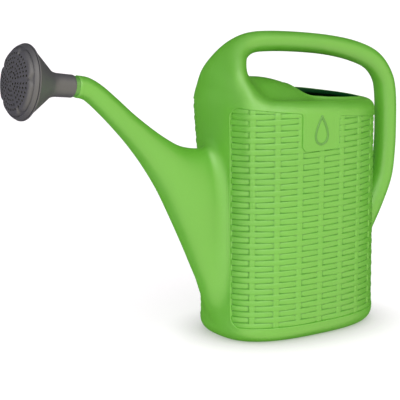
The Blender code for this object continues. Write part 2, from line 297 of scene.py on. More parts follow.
def side_distance(x, y, z):
    """First-order distance to the tank's upright wall."""
    a, b = tank_half_axes(z)
    n = TANK_POWER
    u = np.abs(x) / a
    v = np.abs(y) / b
    radius = np.maximum((u ** n + v ** n) ** (1 / n), 0.05)
    slope = np.hypot(u ** (n - 1) / a, v ** (n - 1) / b) * radius ** (1 - n)
    return (radius - 1) / np.maximum(slope, 1e-4)


def roof_height(x, y):
    """Height of the sloping roof with its hood, before any edge is rounded."""
    plane = ROOF_HEIGHT + ROOF_SLOPE * x + ROOF_CURVE * x * x
    across = np.maximum(1 - (y / HOOD_HALF_WIDTH) ** 2, 0) ** 2
    along = np.maximum(HOOD_RISE - HOOD_FALL * (x - HOOD_X) ** 2, 0)
    return plane + along * across


def above_roof(x, y, z):
    """First-order distance above the roof."""
    return (z - roof_height(x, y)) * ROOF_COSINE


def tank_field(x, y, z):
    """The tank's outside, closed over the mouth."""
    change = smoothstep(*SHOULDER_CHANGE, x)
    radius = SHOULDER_RADIUS + (SHOULDER_RADIUS_AT_BACK - SHOULDER_RADIUS) * change
    body = round_intersection(side_distance(x, y, z), -z, BASE_RADIUS)
    return round_intersection(body, above_roof(x, y, z), radius)


HANDLE_MAPS = handle_maps()
SPOUT_MAPS = spout_maps()


def handle_field(x, y, z):
    """The handle's outside."""
    across, thick, wide, past = (sample(m, x, z) for m in HANDLE_MAPS)
    return np.maximum(oval_distance(across / thick, thick, wide, y), past)


def spout_field(x, y, z, inset=0.0):
    """The spout's outside, or a surface the given inset inside it."""
    across, half_height, half_width, past = (sample(m, x, z) for m in SPOUT_MAPS)
    return np.maximum(oval_distance(across, half_height, half_width, y) + inset, past - SHELL_END)


def can_field(x, y, z):
    """The outside of the moulding, without its woven panels."""
    neck = smoothstep(*NECK_FADES_BACK, x) * smoothstep(*NECK_FADES_FRONT, x)
    body = round_union(tank_field(x, y, z), handle_field(x, y, z), HANDLE_BLEND + NECK_BLEND * neck)
    return round_union(body, spout_field(x, y, z), SPOUT_BLEND)


# Side panels: s runs along the tank's side from its middle, towards +X, z is height

PANEL_HALF_LENGTH = 123
PANEL_CENTRE = -2.5
PANEL_BOTTOM = 19.8
PANEL_TOP, PANEL_TOP_SLOPE = 277.75, -0.1235
PANEL_CORNER, PANEL_BACK_CORNER = 14, 10
# The plain plate's ends along s, and its lower edge
PLATE = (-32, 21, 235)
PLATE_CORNER, PLATE_TOP_CORNER = 8, 4
# The recess under the weave, the distances over which it deepens, and where the tank's sides begin
RECESS_DEPTH = 2.7
RECESS_EDGE = (4.2, 1.4)
SIDES_BEGIN = (24, 34)


def oval_point(angle, half_length, half_width):
    """x and y (positive) on the tank's oval outline."""
    c, s = np.cos(angle), np.sin(angle)
    x = -half_length * np.sign(c) * np.abs(c) ** (2 / TANK_POWER)
    return x, half_width * np.abs(s) ** (2 / TANK_POWER)


def side_table():
    """Angle parameter of the oval against arc length from the middle of the long side."""
    t = np.linspace(0, math.pi, 4001)
    x, y = oval_point(t, *tank_half_axes(150.0))
    length = lengths_along(np.stack([x, y], -1))
    return t, length - length[-1] / 2


SIDE_ANGLE, SIDE_LENGTH = side_table()


def along_side(x, y, z):
    """Arc length s of the side point nearest in angle."""
    a, b = tank_half_axes(z)
    n = TANK_POWER / 2
    angle = np.arctan2((np.abs(y) / b) ** n, -np.sign(x) * (np.abs(x) / a) ** n)
    return np.interp(angle, SIDE_ANGLE, SIDE_LENGTH) - PANEL_CENTRE


def side_point(s, z):
    """x and y (positive) on the tank's side at arc length s and height z."""
    angle = np.interp(s + PANEL_CENTRE, SIDE_LENGTH, SIDE_ANGLE)
    return oval_point(angle, *tank_half_axes(z))


def panel_top(s):
    """Height of the panel's sloping upper edge."""
    return PANEL_TOP + PANEL_TOP_SLOPE * s


def panel_distance(s, z):
    """Distance outside the woven panel's edge, negative on the weave."""
    upright = np.maximum(PANEL_BOTTOM - z, z - panel_top(s))
    outer = round_intersection(np.abs(s) - PANEL_HALF_LENGTH, upright, PANEL_CORNER)
    left, right, low = PLATE
    along = np.abs(s - (left + right) / 2) - (right - left) / 2
    plate = round_intersection(along, low - z, PLATE_CORNER)
    return round_intersection(outer, -plate, 3)


def shell_field(x, y, z):
    """The can with a shallow recess under each woven panel."""
    distance = panel_distance(along_side(x, y, z), z)
    recess = RECESS_DEPTH * smoothstep(*RECESS_EDGE, distance) * smoothstep(*SIDES_BEGIN, np.abs(y))
    return can_field(x, y, z) + recess


SLOPE_STEP = 0.25
LEAST_SQUARED_SLOPE, LONGEST_MOVE = 0.05, 3


def gradient(field, x, y, z):
    """Slope of a field along each axis."""
    step = SLOPE_STEP
    gx = field(x + step, y, z) - field(x - step, y, z)
    gy = field(x, y + step, z) - field(x, y - step, z)
    gz = field(x, y, z + step) - field(x, y, z - step)
    return gx / (2 * step), gy / (2 * step), gz / (2 * step)


def settle(field, points, rounds=3, flat=False):
    """Points moved along the field's gradient, or only level, until they lie on its surface."""
    points = points.copy()
    for _ in range(rounds):
        x, y, z = points.T
        value = field(x, y, z)
        gx, gy, gz = gradient(field, x, y, z)
        if flat:
            gz = gz * 0
        size = np.maximum(gx * gx + gy * gy + gz * gz, LEAST_SQUARED_SLOPE)
        move = np.clip(value / size, -LONGEST_MOVE, LONGEST_MOVE)[:, None] * np.stack([gx, gy, gz], -1)
        points -= move
    return points


def largest_part(points, quads):
    """A surface without the stray specks that aren't joined to its largest part."""
    ends = np.concatenate([quads[:, [i, (i + 1) % 4]] for i in range(4)])
    label = np.arange(len(points))
    while (label[ends[:, 0]] != label[ends[:, 1]]).any():
        first, second = label[ends[:, 0]], label[ends[:, 1]]
        lowest = np.minimum(first, second)
        np.minimum.at(label, first, lowest)
        np.minimum.at(label, second, lowest)
        label = label[label]
    largest = np.bincount(label).argmax()
    used, quads = np.unique(quads[label[quads[:, 0]] == largest], return_inverse=True)
    return points[used], quads.reshape(-1, 4)


def surface_of(field, voxel, low, high):
    """Points and quads of a field's zero surface."""
    axes = [np.arange(a, b, voxel) for a, b in zip(low, high)]
    x = axes[0][:, None, None]
    y = axes[1][None, :, None]
    z = axes[2][None, None, :]
    values = np.broadcast_to(field(x, y, z), [len(a) for a in axes]).astype(np.float32)
    limit = 3 * voxel
    grid = openvdb.FloatGrid(limit)
    grid.copyFromArray(np.ascontiguousarray(np.clip(values, -limit, limit)))
    points, quads = grid.convertToQuads(isovalue=0.0)
    return largest_part(points * voxel + np.array(low), quads.astype(int))


# Mouth

def mouth_outline(angle):
    """x and y of the mouth's edge, round at the back and straight under the hood."""
    c, s = np.cos(angle), np.sin(angle)
    n = MOUTH_POWER
    back = (np.abs(c / MOUTH_BACK) ** n + np.abs(s / MOUTH_HALF_WIDTH) ** n) ** (-1 / n)
    reach = MOUTH_X - HOOD_EDGE_X
    bow = HOOD_EDGE_BOW * s * s
    inside = np.maximum(c * c - 4 * bow * reach, 0)
    front = 2 * reach / (-c + np.sqrt(inside) + 1e-9)
    # A ray that doesn't meet the hood's edge has only the round part of the outline
    meets = (c < 0) & (c * c > 4 * bow * reach)
    front = np.where(meets, front, 1e6)
    n = MOUTH_CORNER_POWER
    radius = (back ** -n + front ** -n) ** (-1 / n)
    return MOUTH_X + radius * c, radius * s


MOUTH_TURNS = np.linspace(-math.pi, math.pi, 1441)[:-1]
MOUTH_POINTS = np.stack(mouth_outline(MOUTH_TURNS), -1)
MOUTH_RADII = np.hypot(MOUTH_POINTS[:, 0] - MOUTH_X, MOUTH_POINTS[:, 1])


# Heights between which the roof's surface is looked for, and the reach of the mouth's new edge
ROOF_HEIGHTS = (240, 322)
EDGE_REACH = 6


def outside_mouth(points):
    """How far each point lies outside the mouth's edge, seen from above, along the ray from its middle."""
    dx = points[:, 0] - MOUTH_X
    dy = points[:, 1]
    edge = np.interp(np.arctan2(dy, dx), MOUTH_TURNS, MOUTH_RADII, period=2 * math.pi)
    return np.hypot(dx, dy) - edge


def on_roof(field, x, y):
    """Height of a field's upper surface over x, y."""
    z = roof_height(x, y)
    for _ in range(6):
        slope = (field(x, y, z + 0.2) - field(x, y, z - 0.2)) / 0.4
        z = z - np.clip(field(x, y, z) / np.maximum(slope, 0.2), -4, 4)
    return z


def cut_mouth(field, points, quads):
    """The surface without the faces over the mouth, its new edge pulled onto the mouth's outline."""
    away = outside_mouth(points)
    low, high = ROOF_HEIGHTS
    roof = (points[:, 2] > low) & (points[:, 2] < high)
    over = roof & (away < 0)
    kept = quads[~(over[quads].sum(axis=1) >= 2)]
    edges = np.concatenate([kept[:, [i, (i + 1) % 4]] for i in range(4)])
    edges.sort(axis=1)
    unique, count = np.unique(edges, axis=0, return_counts=True)
    rim = np.unique(unique[count == 1])
    rim = rim[roof[rim] & (np.abs(away[rim]) < EDGE_REACH)]
    turn = np.arctan2(points[rim, 1], points[rim, 0] - MOUTH_X)
    x, y = mouth_outline(turn)
    points = points.copy()
    points[rim] = np.stack([x, y, on_roof(field, x, y)], -1)
    return points, kept


def swept(name, rows, material, flip=False):
    """A smooth strip through rows of points, each row a closed line round the sweep."""
    rows = np.asarray(rows)
    count = rows.shape[1]
    faces = []
    for i in range(rows.shape[0] - 1):
        here = i * count + np.arange(count)
        ahead = i * count + (np.arange(count) + 1) % count
        quad = np.stack([here, ahead, ahead + count, here + count], -1)
        faces.append(quad[:, ::-1] if flip else quad)
    return mesh_object(name, rows.reshape(-1, 3), np.concatenate(faces), material)


# The can's pieces

# Sampling steps, and opposite corners of the space that is sampled
SHELL_STEP, SHELL_LOW, SHELL_HIGH = 2.0, (-312, -94, -6), (182, 94, 384)
LINER_STEP, LINER_LOW, LINER_HIGH = 3.0, (-309, -93, -3), (150, 93, 330)
# How far the liner lies inside the sides, the floor, the roof and the spout
LINER_SIDES, LINER_FLOOR, LINER_ROOF, LINER_SPOUT = 5, 3, 2.6, 2.6
LINER_ROUNDING, LINER_BLEND = 4, 10
LINER_OPEN_END = -9


def make_shell(material):
    """The outside of the moulding, open at the mouth."""
    points, quads = surface_of(shell_field, SHELL_STEP, SHELL_LOW, SHELL_HIGH)
    points = settle(shell_field, points)
    points[:, 2] = np.maximum(points[:, 2], 0)
    points, quads = cut_mouth(shell_field, points, quads)
    return mesh_object("can_shell", points, quads, material)


def liner_field(x, y, z):
    """The inside of the tank and the spout."""
    side = side_distance(x, y, z) + LINER_SIDES
    body = round_intersection(side, LINER_FLOOR - z, BASE_RADIUS - LINER_ROUNDING)
    body = round_intersection(body, above_roof(x, y, z) + LINER_ROOF, SHOULDER_RADIUS - LINER_ROUNDING)
    return round_union(body, spout_field(x, y, z, LINER_SPOUT), LINER_BLEND)


def make_liner(material):
    """The inside of the can, seen through the mouth and down the nozzle."""
    points, quads = surface_of(liner_field, LINER_STEP, LINER_LOW, LINER_HIGH)
    points = settle(liner_field, points)
    points, quads = cut_mouth(liner_field, points, quads)
    along = (points - np.array(NOZZLE_END)) @ np.array(NOZZLE_AXIS)
    open_end = (along > LINER_OPEN_END) & (points[:, 0] < NOZZLE_BEGINS_X)
    quads = quads[~open_end[quads].any(axis=1)]
    return mesh_object("can_liner", points, quads[:, ::-1], material)


# Sections of the lip under the hood, and where it is rolled over: distance outside the mouth's edge,
# height over the roof
LIP_UNDER_HOOD = (
    (3.0, -0.25), (2.2, 0.05), (1.4, 0.25), (0.7, 0.5), (0.1, 0.7), (-0.4, 0.66), (-0.8, 0.4),
    (-1.0, 0.0), (-1.0, -1.2), (-0.8, -2.6), (-0.2, -3.4), (0.6, -3.6),
)
LIP_ROLLED = (
    (7.5, -0.25), (5.6, 0.1), (4.0, 0.45), (2.7, 1.0), (1.8, 1.75), (1.1, 2.5), (0.3, 2.95),
    (-0.5, 2.95), (-1.1, 2.4), (-1.2, 1.4), (-1.1, -1.8), (-0.2, -3.8),
)
# The sections' points that belong to the lip: the rest is the wall, coloured dark as painted shade
LIP_ROWS = 9
LIP_POINTS = 300
LIP_CHANGE = (-4, 16)
LIP_LOWERING, LIP_LOWERS = 0.6, (55, 95)


def make_lip(material, shade_material):
    """The rolled lip round the mouth, low and thin along the hood's edge, and the wall inside it, coloured
    dark as painted shade.
    """
    dense = np.stack(mouth_outline(np.linspace(-math.pi, math.pi, 6001)), -1)
    line = evenly_spaced(dense, LIP_POINTS)
    normal = outward(line, reach=2)
    rolled = smoothstep(*LIP_CHANGE, line[:, 0])
    level = 1 - LIP_LOWERING * smoothstep(*LIP_LOWERS, line[:, 0])
    rows = []
    for (hood_out, hood_rise), (rolled_out, rolled_rise) in zip(LIP_UNDER_HOOD, LIP_ROLLED):
        out = (hood_out + (rolled_out - hood_out) * rolled)[:, None]
        full_rise = rolled_rise * (level if rolled_rise > 0 else 1)
        rise = hood_rise + (full_rise - hood_rise) * rolled
        roof_place = line + normal * np.maximum(out, 0)
        z = on_roof(can_field, roof_place[:, 0], roof_place[:, 1]) + rise
        rows.append(np.column_stack([line + normal * out, z]))
    lip = swept("mouth_lip", rows[:LIP_ROWS], material, flip=True)
    wall = swept("mouth_wall", rows[LIP_ROWS - 1:], shade_material, flip=True)
    return lip, wall


# Side panels' pieces

def rounded_outline(corners, step):
    """Points at equal steps round a polygon with rounded corners, and the outward normal at each."""
    count = len(corners)
    dense = []
    for i in range(count):
        before = np.array(corners[i - 1][:2], float)
        here = np.array(corners[i][:2], float)
        after = np.array(corners[(i + 1) % count][:2], float)
        u = (before - here) / np.hypot(*(before - here))
        v = (after - here) / np.hypot(*(after - here))
        half = math.acos(np.clip(u @ v, -1, 1)) / 2
        sweep = math.pi - 2 * half
        setback = corners[i][2] / math.tan(half)
        bisector = (u + v) / np.hypot(*(u + v))
        centre = here + bisector * corners[i][2] / math.sin(half)
        first = here + u * setback - centre
        last = here + v * setback - centre
        across = (last - first * math.cos(sweep)) / math.sin(sweep)
        for t in np.linspace(0, 1, 40):
            dense.append(centre + first * math.cos(t * sweep) + across * math.sin(t * sweep))
    dense = np.array(dense + [dense[0]])
    line = evenly_spaced(dense, int(round(lengths_along(dense)[-1] / step)))
    return line, outward(line)


def panel_outline():
    """The woven panel's edge in s and z, round its notch for the plain plate."""
    left, right, low = PLATE
    end = PANEL_HALF_LENGTH
    corners = (
        (-end, PANEL_BOTTOM, PANEL_CORNER),
        (end, PANEL_BOTTOM, PANEL_CORNER),
        (end, panel_top(end), PANEL_BACK_CORNER),
        (right, panel_top(right), PLATE_TOP_CORNER),
        (right, low, PLATE_CORNER),
        (left, low, PLATE_CORNER),
        (left, panel_top(left), PLATE_TOP_CORNER),
        (-end, panel_top(-end), PANEL_CORNER),
    )
    return rounded_outline(corners, BORDER_STEP)


def on_side(s, z):
    """Points of the can's smooth side, and its outward normals, at arc length s and height z."""
    x, y = side_point(s, z)
    points = settle(can_field, np.stack([x, y, z], -1), rounds=5, flat=True)
    normal = np.stack(gradient(can_field, *points.T), -1)
    normal /= np.linalg.norm(normal, axis=1)[:, None]
    return points, normal


def mirrored(points, side):
    """Points of the far side, or with side -1 the same points on the near side."""
    return points * np.array([1, side, 1])


BORDER_STEP = 1.5
# Distance outside the panel's edge, height over the plain wall
BORDER_SECTION = (
    (6.2, -0.12), (5.2, 0.03), (3.6, 0.05), (2.2, 0.07), (1.5, 0.1), (0.95, 0.22),
    (0.45, 0.27), (0.0, 0.18), (-0.3, -0.2), (-0.55, -1.2), (-0.8, -2.4),
)


def make_borders(material):
    """The moulded edge round each woven panel, from the plain wall down to the weave's floor."""
    line, normal = panel_outline()
    rows = []
    for out, rise in BORDER_SECTION:
        place = line + normal * out
        base, up = on_side(place[:, 0], place[:, 1])
        rows.append(base + up * rise)
    rows = np.array(rows)
    front = swept("panel_border_front", mirrored(rows, -1), material)
    back = swept("panel_border_back", rows, material, flip=True)
    return front, back


ROW_PITCH = 7.135
STAKE_PITCH = 30.6
STAKE_HALF_WIDTH = 3.6
FIRST_STAKE = -95.0

# Heights over the plain wall, in millimetres
WEAVE_FLOOR = -1.95
STRIP_LEVEL, STRIP_SWING, STRIP_CROWN = -0.65, 0.45, 0.5
GAP_STEP, GAP_LEVEL, GAP_SWING = 0.35, -1.15, 0.8
STAKE_LEVEL, STAKE_BULGE, STAKE_DIP = -0.75, 0.4, 0.7
STAKE_RIDGE, STAKE_CROWN = 0.12, 0.35
ABSENT = -9

# A strip sinks towards a stake that it passes under
SUNK_DEPTH, SUNK_LENGTH = 0.45, 3.0

# Across a strip, in row pitches, and the places on its face that are sampled, in half-heights
STRIP_HALF_HEIGHT, STRIP_PINCH = 0.425, 0.018
STRIP_WALL = 0.03
FACE_SHARES = (-1, -0.72, -0.3, 0.3, 0.72, 1)

COLUMN_WIDTH = 0.9
# Along its border the weave lies low, and it ends under the border
LOW_EDGE_WIDTH, LOW_EDGE_HEIGHT = 1.2, -1.0
UNDER_BORDER = 0.9


def strip_wave(s, row):
    """1 where a row's strip crosses over a stake, -1 where it passes under one."""
    return np.where(row % 2 == 0, 1.0, -1.0) * np.cos(math.pi * (s - FIRST_STAKE) / STAKE_PITCH)


def strip_half_height(wave):
    """Half of a strip's height in row pitches: it is pinched where it passes under a stake."""
    return STRIP_HALF_HEIGHT + STRIP_PINCH * wave


def weave_relief(s, row, v):
    """Height of the weave against the plain wall, at v row pitches from the middle of a row."""
    wave = strip_wave(s, row)
    half = strip_half_height(wave)
    stake = np.round((s - FIRST_STAKE) / STAKE_PITCH)
    away = np.abs(s - FIRST_STAKE - stake * STAKE_PITCH)
    under = wave < 0
    strip = STRIP_LEVEL + STRIP_SWING * wave - STRIP_CROWN * (np.abs(v) / half) ** 3
    sunk = np.clip(1 - (away - STAKE_HALF_WIDTH) / SUNK_LENGTH, 0, 1)
    strip = strip - np.where(under, SUNK_DEPTH * sunk, 0)
    gap = np.minimum(strip - GAP_STEP, GAP_LEVEL - GAP_SWING * wave ** 2)
    strip = np.where(np.abs(v) > half + STRIP_WALL / 2, gap, strip)
    rise = np.where(under, STAKE_BULGE, -STAKE_DIP) * np.cos(math.pi * v)
    ridges = STAKE_RIDGE * np.cos(2 * math.pi * away / STAKE_HALF_WIDTH)
    upright = STAKE_LEVEL + rise - ridges - STAKE_CROWN * (away / STAKE_HALF_WIDTH) ** 4
    upright = np.where(away < STAKE_HALF_WIDTH, upright, ABSENT)
    return np.maximum(np.maximum(strip, upright), WEAVE_FLOOR)


def make_weave(name, side, material):
    """One side's weave: columns of samples along s, each up every row's gap, strip walls and strip face."""
    columns = int(2 * PANEL_HALF_LENGTH / COLUMN_WIDTH)
    s = np.linspace(-PANEL_HALF_LENGTH, PANEL_HALF_LENGTH, columns + 1)
    count = int((panel_top(-PANEL_HALF_LENGTH) - PANEL_BOTTOM) / ROW_PITCH) + 1
    samples = 3 + len(FACE_SHARES)
    gs, row, sample_number = np.meshgrid(s, np.arange(count), np.arange(samples), indexing="ij")
    gs, row, sample_number = gs.ravel(), row.ravel(), sample_number.ravel()
    half = strip_half_height(strip_wave(gs, row))
    face = [share * half for share in FACE_SHARES]
    v = np.choose(sample_number, [-0.5, -half - STRIP_WALL, *face, half + STRIP_WALL])
    gz = PANEL_BOTTOM + ROW_PITCH * (row + 0.5 + v)
    height = weave_relief(gs, row, v)
    edge = panel_distance(gs, gz)
    height = np.where(edge > -LOW_EDGE_WIDTH, np.minimum(height, LOW_EDGE_HEIGHT), height)
    rows = count * samples
    i, j = np.meshgrid(np.arange(columns), np.arange(rows - 1), indexing="ij")
    a = (i * rows + j).ravel()
    quads = np.stack([a, a + rows, a + rows + 1, a + 1], -1)
    quads = quads[(edge[quads] < UNDER_BORDER).all(axis=1)]
    used, quads = np.unique(quads, return_inverse=True)
    quads = quads.reshape(-1, 4)
    base, up = on_side(gs[used], gz[used])
    points = base + up * height[used][:, None]
    if side > 0:
        quads = quads[:, ::-1]
    weave = mesh_object(name, mirrored(points, side), quads, material)
    depth = weave.data.attributes.new("depth", "FLOAT", "POINT")
    depth.data.foreach_set("value", (height[used] / WEAVE_FLOOR).astype(np.float32))
    return weave


DROP_CENTRE = (-5.5, 259.5)
DROP_SPREAD, DROP_TAPER = 12.15, 1.3
DROP_HEIGHT = 34.0
DROP_POINTS = 120
DROP_LINE_HALF_WIDTH, DROP_LINE_HEIGHT = 1.5, 1.0


def make_drop(name, side, material):
    """A raised outline of a water drop on the plain plate above the weave."""
    turn = np.linspace(0, 2 * math.pi, DROP_POINTS + 1)[:-1]
    ds = DROP_SPREAD * np.sin(turn) * np.sin(turn / 2) ** DROP_TAPER
    dz = DROP_HEIGHT / 2 * np.cos(turn)
    line = np.stack([DROP_CENTRE[0] + ds, DROP_CENTRE[1] + dz], -1)
    # The line runs clockwise
    normal = -outward(line)
    rows = []
    for angle in np.radians(np.linspace(-20, 200, 11)):
        across = DROP_LINE_HALF_WIDTH * math.cos(angle)
        rise = DROP_LINE_HEIGHT * math.sin(angle)
        place = line + normal * across
        base, up = on_side(place[:, 0], place[:, 1])
        rows.append(base + up * rise)
    return swept(name, mirrored(np.array(rows), side), material, flip=side < 0)


# Rose and nozzle: turned pieces, radius and distance along the nozzle's axis

PROFILE_STEPS = 5
TURNED_SEGMENTS = 128


def rounded_profile(corners):
    """A closed profile with each corner (radius, distance, rounding) turned into a short arc."""
    result = []
    count = len(corners)
    for i, (r, s, rounding) in enumerate(corners):
        here = np.array((r, s), float)
        before = np.array(corners[i - 1][:2], float)
        after = np.array(corners[(i + 1) % count][:2], float)
        u = (before - here) / np.hypot(*(before - here))
        v = (after - here) / np.hypot(*(after - here))
        a = here + u * rounding
        b = here + v * rounding
        for t in np.linspace(0, 1, PROFILE_STEPS + 1):
            result.append((1 - t) ** 2 * a + 2 * t * (1 - t) * here + t * t * b)
    return np.array(result)


AXIS_UP = Vector((math.sin(NOZZLE_TILT), 0, math.cos(NOZZLE_TILT)))


def to_frame(across, sideways, along):
    """Points from the rose's own directions to the frame's."""
    return (np.array(NOZZLE_END) + np.multiply.outer(across, np.array(AXIS_UP))
            + np.multiply.outer(sideways, np.array((0.0, 1.0, 0.0)))
            + np.multiply.outer(along, np.array(NOZZLE_AXIS)))


def cleaned(obj, most_sides=0):
    """An object with doubled points joined, holes of up to most_sides edges closed, faces turned outward."""
    bm = bmesh.new()
    bm.from_mesh(obj.data)
    bmesh.ops.remove_doubles(bm, verts=bm.verts, dist=1e-7)
    if most_sides:
        bmesh.ops.holes_fill(bm, edges=bm.edges, sides=most_sides)
    bmesh.ops.recalc_face_normals(bm, faces=bm.faces)
    bm.to_mesh(obj.data)
    bm.free()
    return obj


def turned(name, profile, material):
    """A closed profile turned round the nozzle's axis."""
    turn = np.linspace(0, 2 * math.pi, TURNED_SEGMENTS + 1)[:-1]
    r, s = np.asarray(profile).T
    x = np.outer(r, np.cos(turn))
    y = np.outer(r, np.sin(turn))
    along = np.repeat(s[:, None], TURNED_SEGMENTS, axis=1)
    rows = to_frame(x, y, along)
    return cleaned(swept(name, np.concatenate([rows, rows[:1]]), material))


COLLAR_RADIUS = 12.0
# How far the collar and the spigot reach back into the spout
COLLAR_ROOT, SPIGOT_ROOT = -5, -12
SPIGOT_RADIUS, SPIGOT_LENGTH, SPIGOT_BORE = 10.7, 25.0, 8.5
SLEEVE_START, SLEEVE_LENGTH = 5.6, 28.5
SLEEVE_BORE = 11.1
ROSE_RADIUS, ROSE_RIM = 43.5, 68.0
RIM_SEAT = 41.7


def make_collar(material):
    """The narrower ring between the end of the spout and the rose's sleeve, darker green as painted shade
    from the sleeve.
    """
    bore = SPIGOT_RADIUS - 0.6
    corners = (
        (COLLAR_RADIUS, COLLAR_ROOT, 0.2), (COLLAR_RADIUS, COLLAR_END, 0.5),
        (bore, COLLAR_END, 0.2), (bore, COLLAR_ROOT, 0.2),
    )
    return turned("nozzle_collar", rounded_profile(corners), material)


def make_spigot(material):
    """The bored tube that the rose's sleeve is pushed over, with a low ring round it."""
    corners = (
        (SPIGOT_BORE, SPIGOT_ROOT, 0.2), (SPIGOT_BORE, SPIGOT_LENGTH, 0.6),
        (SPIGOT_RADIUS - 0.25, SPIGOT_LENGTH, 0.9), (SPIGOT_RADIUS - 0.2, 17.0, 0.4),
        (SPIGOT_RADIUS, 16.2, 0.3), (SPIGOT_RADIUS, 14.8, 0.3), (SPIGOT_RADIUS - 0.2, 14.0, 0.4),
        (SPIGOT_RADIUS - 0.1, 0.15, 0.2), (SPIGOT_RADIUS - 0.1, SPIGOT_ROOT, 0.2),
    )
    return turned("nozzle_spigot", rounded_profile(corners), material)


def make_cone(material):
    """The rose's sleeve and cone, open at both ends, with a seat for the face in its rim."""
    corners = (
        (SLEEVE_BORE, SLEEVE_START, 0.5), (12.95, SLEEVE_START, 0.6), (13.25, SLEEVE_START + 2.6, 0.5),
        (13.1, SLEEVE_START + 3.3, 0.4), (13.6, SLEEVE_LENGTH, 3),
        (15.4, 35, 3), (40.4, 64.2, 1.5), (41.6, 65.6, 0.8), (ROSE_RADIUS - 0.1, 66.3, 0.4),
        (ROSE_RADIUS, ROSE_RIM, 0.5), (RIM_SEAT, ROSE_RIM, 0.3), (RIM_SEAT, 67.2, 0.4), (38.2, 64.8, 2),
        (13.4, 36.2, 3), (SLEEVE_BORE, SLEEVE_LENGTH, 1),
    )
    return turned("rose_funnel", rounded_profile(corners), material)


PETALS = 5
PETAL_TURN = math.radians(28)
PETAL_EDGE = 38.3
PETAL_CORNER = 9.0
PETAL_ROUNDING = 5.2
FACE_APEX, FACE_SAG, FACE_BORDER, FACE_BORDER_RADIUS = 82.0, 4.5, 73.0, 40.6
GROUND_RISE, GROUND_RISES = 4, (39, 32)
BEAD_HEIGHT, BEAD_RADIUS, BEAD_HALF_WIDTH = 0.6, 39.9, 0.7

# Holes in each ring of one petal; the step from petal to petal is PETAL_GAP of the ring's pitches
HOLE_RADIUS = 1.3
RING_HOLES = (1, 3, 4, 5, 6, 7)
FIRST_RING, RING_PITCH, PETAL_GAP = 5.2, 5.25, 1.6
PIN_SEGMENTS, PIN_LENGTH, PIN_MIDDLE = 14, 20, 78

FACE_SEGMENTS = 240
FACE_CENTRE = 0.6
FACE_COARSE_STEP, FACE_FINE_STEP, FACE_FINE_FROM = 1.5, 0.4, 25
# The face's skirt and its inner surface, from the border back to the middle: radius, distance
FACE_SKIRT = (
    (41.1, 72.4), (41.6, 71.6), (42.2, 70.5), (42.6, 69.6), (42.75, 69.0), (42.5, 68.45),
    (40.9, 68.3), (40.9, 67.4), (39.1, 67.4), (39.1, 70.2),
    (36, 71.4), (31, 74.6), (24, 77.6), (12, 79.6), (FACE_CENTRE, 80),
)
FACE_SHARP_ANGLE = 38


def face_height(radius, turn):
    """The spray face: a dome of five pillowed petals above a border ring."""
    dome = FACE_APEX - FACE_SAG * (radius / PETAL_EDGE) ** 2
    ground = FACE_BORDER + GROUND_RISE * smoothstep(*GROUND_RISES, radius)
    sector = 2 * math.pi / PETALS
    off = np.abs((turn - PETAL_TURN + sector / 2) % sector - sector / 2)
    t = np.clip((sector / 2 - off) * PETAL_EDGE, 0, PETAL_CORNER)
    notch = PETAL_CORNER - np.sqrt(PETAL_CORNER ** 2 - (PETAL_CORNER - t) ** 2)
    inside = np.clip((PETAL_EDGE - notch - radius) / PETAL_ROUNDING, 0, 1)
    petal = np.sqrt(1 - (1 - inside) ** 2)
    bead = BEAD_HEIGHT * np.maximum(1 - ((radius - BEAD_RADIUS) / BEAD_HALF_WIDTH) ** 2, 0)
    return ground + (dome - ground) * petal + bead


def spray_holes():
    """Places of the spray holes, ring by ring, with a wider gap between the petals."""
    sector = 2 * math.pi / PETALS
    places = [(0.0, 0.0)]
    for ring, holes in enumerate(RING_HOLES):
        radius = FIRST_RING + RING_PITCH * ring
        pitch = sector / (holes - 1 + PETAL_GAP)
        for petal in range(PETALS):
            for hole in range(holes):
                turn = PETAL_TURN + sector * petal + pitch * (hole - (holes - 1) / 2)
                places.append((radius * math.cos(turn), radius * math.sin(turn)))
    return places


def make_face(material, hole_shade_material):
    """The spray face with its skirt, and every spray hole cut through it."""
    turn = np.linspace(0, 2 * math.pi, FACE_SEGMENTS + 1)[:-1]
    coarse = np.arange(FACE_COARSE_STEP, FACE_FINE_FROM, FACE_COARSE_STEP)
    fine = np.arange(FACE_FINE_FROM, FACE_BORDER_RADIUS + 0.1, FACE_FINE_STEP)
    rows = []
    for radius in [FACE_CENTRE, *coarse, *fine]:
        height = face_height(np.full(FACE_SEGMENTS, radius), turn)
        rows.append((radius * np.cos(turn), radius * np.sin(turn), height))
    for radius, height in FACE_SKIRT:
        rows.append((radius * np.cos(turn), radius * np.sin(turn), np.full(FACE_SEGMENTS, height)))
    points = np.array([to_frame(*row) for row in rows])
    face = cleaned(swept("rose_spray_face", points, material), most_sides=FACE_SEGMENTS + 1)
    cut_spray_holes(face, hole_shade_material)
    return face


